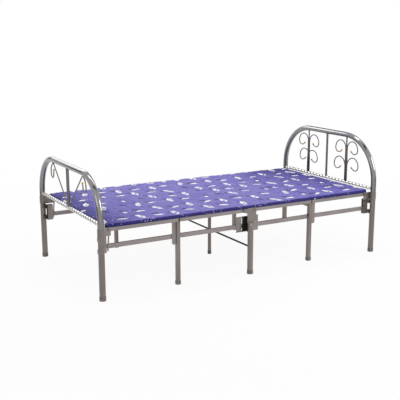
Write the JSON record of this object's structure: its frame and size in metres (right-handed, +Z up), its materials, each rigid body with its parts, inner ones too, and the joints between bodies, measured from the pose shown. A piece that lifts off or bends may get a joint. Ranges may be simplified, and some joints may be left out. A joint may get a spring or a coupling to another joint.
{
  "type": "folding bed",
  "caption": "Single folding guest bed: arched tube ends, thin printed padded deck in hinged sections, and linked lower rails that keep the legs upright as it folds.",
  "frame": {"origin": "on the floor, at the middle of the bed's length and width", "axes": "+X from the foot end to the head end, +Y across the bed to the far side, +Z up"},
  "size_m": [1.9388, 1.0028, 0.7595],
  "materials": {
    "arch_tube": "bright",
    "blackened_steel": "dark",
    "brass_bead": "polished",
    "fibreboard": "plain hardboard",
    "foot_plastic": "moulded",
    "grey_tube": "silver grey",
    "pin_steel": "plain",
    "pressed_steel": "silver grey",
    "printed_fabric": "printed cotton over thin wadding",
    "rod_steel": "plated",
    "twisted_chrome": "bright, spiral grooved"
  },
  "bodies": {
    "centre_frame": {"centre_cross_rod": "blackened_steel", "centre_feet": "foot_plastic", "centre_leg_far": "grey_tube", "centre_leg_near": "grey_tube", "centre_lower_bracket_far": "pressed_steel", "centre_lower_bracket_near": "pressed_steel", "centre_middle_leg": "grey_tube", "centre_pins": "pin_steel", "centre_top_bar": "grey_tube"},
    "deck_section_1": {"deck_board_1": "fibreboard", "deck_cover_1": "printed_fabric", "deck_frame_1": "grey_tube"},
    "deck_section_2": {"deck_board_2": "fibreboard", "deck_cover_2": "printed_fabric", "deck_frame_2": "grey_tube"},
    "deck_section_3": {"deck_board_3": "fibreboard", "deck_cover_3": "printed_fabric", "deck_frame_3": "grey_tube"},
    "deck_section_4": {"deck_board_4": "fibreboard", "deck_cover_4": "printed_fabric", "deck_frame_4": "grey_tube"},
    "foot_prop_frame": {"foot_prop_brackets": "pressed_steel", "foot_prop_crossbar": "grey_tube", "foot_prop_feet": "foot_plastic", "foot_prop_legs": "grey_tube", "foot_prop_pins": "pin_steel"},
    "footboard": {"footboard_arch": "arch_tube", "footboard_beads": "brass_bead", "footboard_fan_rods": "rod_steel", "footboard_feet": "foot_plastic", "footboard_hinge_plates": "pressed_steel", "footboard_lower_brackets": "pressed_steel", "footboard_pins": "pin_steel", "footboard_stay": "rod_steel", "footboard_twisted_bar": "twisted_chrome"},
    "head_prop_frame": {"head_prop_brackets": "pressed_steel", "head_prop_crossbar": "grey_tube", "head_prop_feet": "foot_plastic", "head_prop_legs": "grey_tube", "head_prop_pins": "pin_steel"},
    "headboard": {"headboard_arch": "arch_tube", "headboard_beads": "brass_bead", "headboard_feet": "foot_plastic", "headboard_hinge_plates": "pressed_steel", "headboard_lower_brackets": "pressed_steel", "headboard_pins": "pin_steel", "headboard_scrolls": "rod_steel", "headboard_stay": "rod_steel", "headboard_twisted_bar": "twisted_chrome", "headboard_uprights": "rod_steel"},
    "lock_hook_far": {"lock_hook_far": "pressed_steel"},
    "lock_hook_near": {"lock_hook_near": "pressed_steel"},
    "lower_links_1": {"lower_rails_1": "grey_tube"},
    "lower_links_2": {"lower_rails_2": "grey_tube"},
    "lower_links_3": {"lower_rails_3": "grey_tube"},
    "lower_links_4": {"lower_rails_4": "grey_tube"}
  },
  "joints": [
    {"name": "foot_fold", "type": "hinge", "parent": "centre_frame", "child": "deck_section_2", "pos_m": [-0.037, 0, 0.385], "axis": [0, 1, 0], "range_deg": [0, 87]},
    {"name": "foot_lower_inner_fold", "type": "hinge", "parent": "centre_frame", "child": "lower_links_2", "pos_m": [-0.04, 0, 0.287], "axis": [0, 1, 0], "range_deg": [0, 87]},
    {"name": "foot_prop_turn", "type": "hinge", "parent": "deck_section_2", "child": "foot_prop_frame", "pos_m": [-0.4385, 0, 0.385], "axis": [0, 1, 0], "range_deg": [-87, 0]},
    {"name": "foot_outer_fold", "type": "hinge", "parent": "foot_prop_frame", "child": "deck_section_1", "pos_m": [-0.4965, 0, 0.385], "axis": [0, 1, 0], "range_deg": [-87, 0]},
    {"name": "foot_lower_outer_fold", "type": "hinge", "parent": "foot_prop_frame", "child": "lower_links_1", "pos_m": [-0.4935, 0, 0.287], "axis": [0, 1, 0], "range_deg": [-87, 0]},
    {"name": "foot_end_turn", "type": "hinge", "parent": "deck_section_1", "child": "footboard", "pos_m": [-0.898, 0, 0.385], "axis": [0, 1, 0], "range_deg": [0, 87]},
    {"name": "head_fold", "type": "hinge", "parent": "centre_frame", "child": "deck_section_3", "pos_m": [0.037, 0, 0.385], "axis": [0, -1, 0], "range_deg": [0, 87]},
    {"name": "head_lower_inner_fold", "type": "hinge", "parent": "centre_frame", "child": "lower_links_3", "pos_m": [0.04, 0, 0.287], "axis": [0, -1, 0], "range_deg": [0, 87]},
    {"name": "head_prop_turn", "type": "hinge", "parent": "deck_section_3", "child": "head_prop_frame", "pos_m": [0.4385, 0, 0.385], "axis": [0, -1, 0], "range_deg": [-87, 0]},
    {"name": "head_outer_fold", "type": "hinge", "parent": "head_prop_frame", "child": "deck_section_4", "pos_m": [0.4965, 0, 0.385], "axis": [0, -1, 0], "range_deg": [-87, 0]},
    {"name": "head_lower_outer_fold", "type": "hinge", "parent": "head_prop_frame", "child": "lower_links_4", "pos_m": [0.4935, 0, 0.287], "axis": [0, -1, 0], "range_deg": [-87, 0]},
    {"name": "head_end_turn", "type": "hinge", "parent": "deck_section_4", "child": "headboard", "pos_m": [0.898, 0, 0.385], "axis": [0, -1, 0], "range_deg": [0, 87]},
    {"name": "lock_hook_near_swing", "type": "hinge", "parent": "footboard", "child": "lock_hook_near", "pos_m": [-0.895, -0.444, 0.287], "axis": [0, -1, 0], "range_deg": [0, 8]},
    {"name": "lock_hook_far_swing", "type": "hinge", "parent": "footboard", "child": "lock_hook_far", "pos_m": [-0.895, 0.444, 0.287], "axis": [0, -1, 0], "range_deg": [0, 8]}
  ],
  "couplings": [
    {"joint": "foot_lower_inner_fold", "follows": "foot_fold", "ratio": 1},
    {"joint": "foot_prop_turn", "follows": "foot_fold", "ratio": -1},
    {"joint": "foot_outer_fold", "follows": "foot_fold", "ratio": -1},
    {"joint": "foot_lower_outer_fold", "follows": "foot_fold", "ratio": -1},
    {"joint": "foot_end_turn", "follows": "foot_fold", "ratio": 1},
    {"joint": "head_lower_inner_fold", "follows": "head_fold", "ratio": 1},
    {"joint": "head_prop_turn", "follows": "head_fold", "ratio": -1},
    {"joint": "head_outer_fold", "follows": "head_fold", "ratio": -1},
    {"joint": "head_lower_outer_fold", "follows": "head_fold", "ratio": -1},
    {"joint": "head_end_turn", "follows": "head_fold", "ratio": 1}
  ]
}
